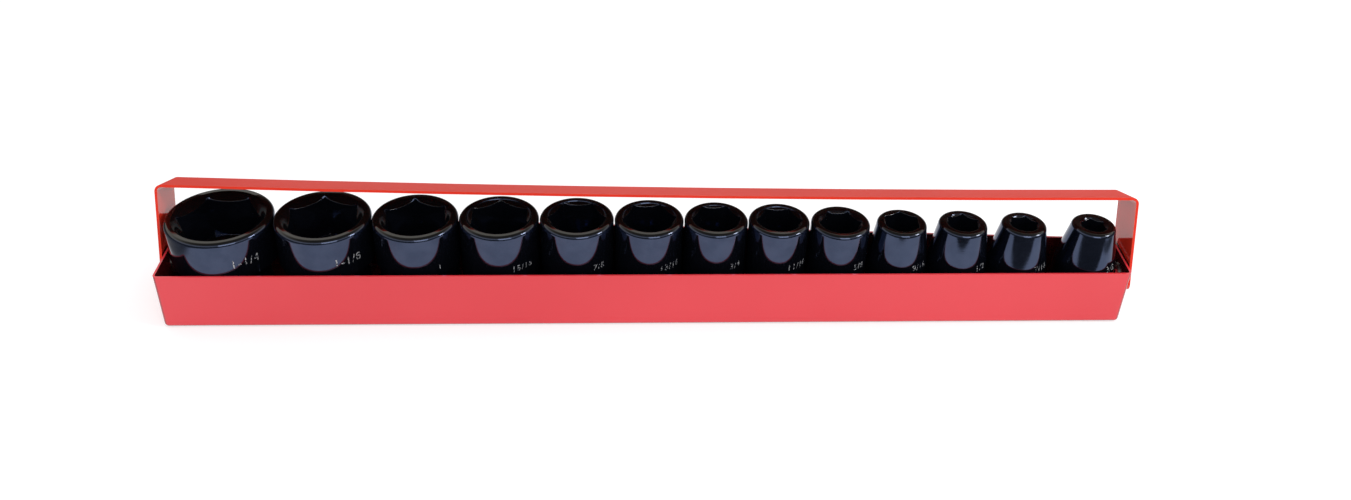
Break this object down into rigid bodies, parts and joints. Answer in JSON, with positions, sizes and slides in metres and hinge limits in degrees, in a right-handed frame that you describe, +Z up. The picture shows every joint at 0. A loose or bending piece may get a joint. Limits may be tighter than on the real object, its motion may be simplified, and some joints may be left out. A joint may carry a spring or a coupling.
{
  "type": "socket tray",
  "caption": "Long tapered sheet metal tray with a swinging strap handle, holding a graded row of impact sockets that stand nose up.",
  "frame": {"origin": "on the tray's underside, at the middle of its length and on its centreline", "axes": "+X along the tray towards the narrow end, +Y across it towards the side the handle leans to, +Z up"},
  "size_m": [0.4578, 0.0528, 0.0583],
  "materials": {
    "red_paint": "gloss baked enamel on sheet steel",
    "red_paint_handle": "gloss baked enamel on a steel strap",
    "rivet_steel": "steel rivet painted with the tray",
    "washer_steel": "zinc plated",
    "black_oxide": "oiled black oxide on forged steel"
  },
  "bodies": {
    "tray": {"tray_body": "red_paint", "pivot_rivet_left": "rivet_steel", "spacer_washer_left": "washer_steel", "backing_washer_left": "washer_steel", "pivot_rivet_right": "rivet_steel", "spacer_washer_right": "washer_steel", "backing_washer_right": "washer_steel"},
    "handle": {"handle": "red_paint_handle"},
    "socket_1_1_4_inch": {"socket_1_1_4_inch": "black_oxide"},
    "socket_1_1_8_inch": {"socket_1_1_8_inch": "black_oxide"},
    "socket_1_inch": {"socket_1_inch": "black_oxide"},
    "socket_15_16_inch": {"socket_15_16_inch": "black_oxide"},
    "socket_7_8_inch": {"socket_7_8_inch": "black_oxide"},
    "socket_13_16_inch": {"socket_13_16_inch": "black_oxide"},
    "socket_3_4_inch": {"socket_3_4_inch": "black_oxide"},
    "socket_11_16_inch": {"socket_11_16_inch": "black_oxide"},
    "socket_5_8_inch": {"socket_5_8_inch": "black_oxide"},
    "socket_9_16_inch": {"socket_9_16_inch": "black_oxide"},
    "socket_1_2_inch": {"socket_1_2_inch": "black_oxide"},
    "socket_7_16_inch": {"socket_7_16_inch": "black_oxide"},
    "socket_3_8_inch": {"socket_3_8_inch": "black_oxide"}
  },
  "joints": [
    {"name": "handle_swing", "type": "hinge", "parent": "tray", "child": "handle", "pos_m": [0, 0, 0.0188], "axis": [1, 0, 0], "range_deg": [-73, 117]},
    {"name": "lift_1_1_4_inch", "type": "slide", "parent": "tray", "child": "socket_1_1_4_inch", "axis": [0, 0, 1], "range_m": [0, 0.0033]},
    {"name": "lift_1_1_8_inch", "type": "slide", "parent": "tray", "child": "socket_1_1_8_inch", "axis": [0, 0, 1], "range_m": [0, 0.0029]},
    {"name": "lift_1_inch", "type": "slide", "parent": "tray", "child": "socket_1_inch", "axis": [0, 0, 1], "range_m": [0, 0.0033]},
    {"name": "lift_15_16_inch", "type": "slide", "parent": "tray", "child": "socket_15_16_inch", "axis": [0, 0, 1], "range_m": [0, 0.0031]},
    {"name": "lift_7_8_inch", "type": "slide", "parent": "tray", "child": "socket_7_8_inch", "axis": [0, 0, 1], "range_m": [0, 0.0031]},
    {"name": "lift_13_16_inch", "type": "slide", "parent": "tray", "child": "socket_13_16_inch", "axis": [0, 0, 1], "range_m": [0, 0.0036]},
    {"name": "lift_3_4_inch", "type": "slide", "parent": "tray", "child": "socket_3_4_inch", "axis": [0, 0, 1], "range_m": [0, 0.0041]},
    {"name": "lift_11_16_inch", "type": "slide", "parent": "tray", "child": "socket_11_16_inch", "axis": [0, 0, 1], "range_m": [0, 0.0044]},
    {"name": "lift_5_8_inch", "type": "slide", "parent": "tray", "child": "socket_5_8_inch", "axis": [0, 0, 1], "range_m": [0, 0.0055]},
    {"name": "lift_9_16_inch", "type": "slide", "parent": "tray", "child": "socket_9_16_inch", "axis": [0, 0, 1], "range_m": [0, 0.0066]},
    {"name": "lift_1_2_inch", "type": "slide", "parent": "tray", "child": "socket_1_2_inch", "axis": [0, 0, 1], "range_m": [0, 0.007]},
    {"name": "lift_7_16_inch", "type": "slide", "parent": "tray", "child": "socket_7_16_inch", "axis": [0, 0, 1], "range_m": [0, 0.0077]},
    {"name": "lift_3_8_inch", "type": "slide", "parent": "tray", "child": "socket_3_8_inch", "axis": [0, 0, 1], "range_m": [0, 0.0082]}
  ]
}
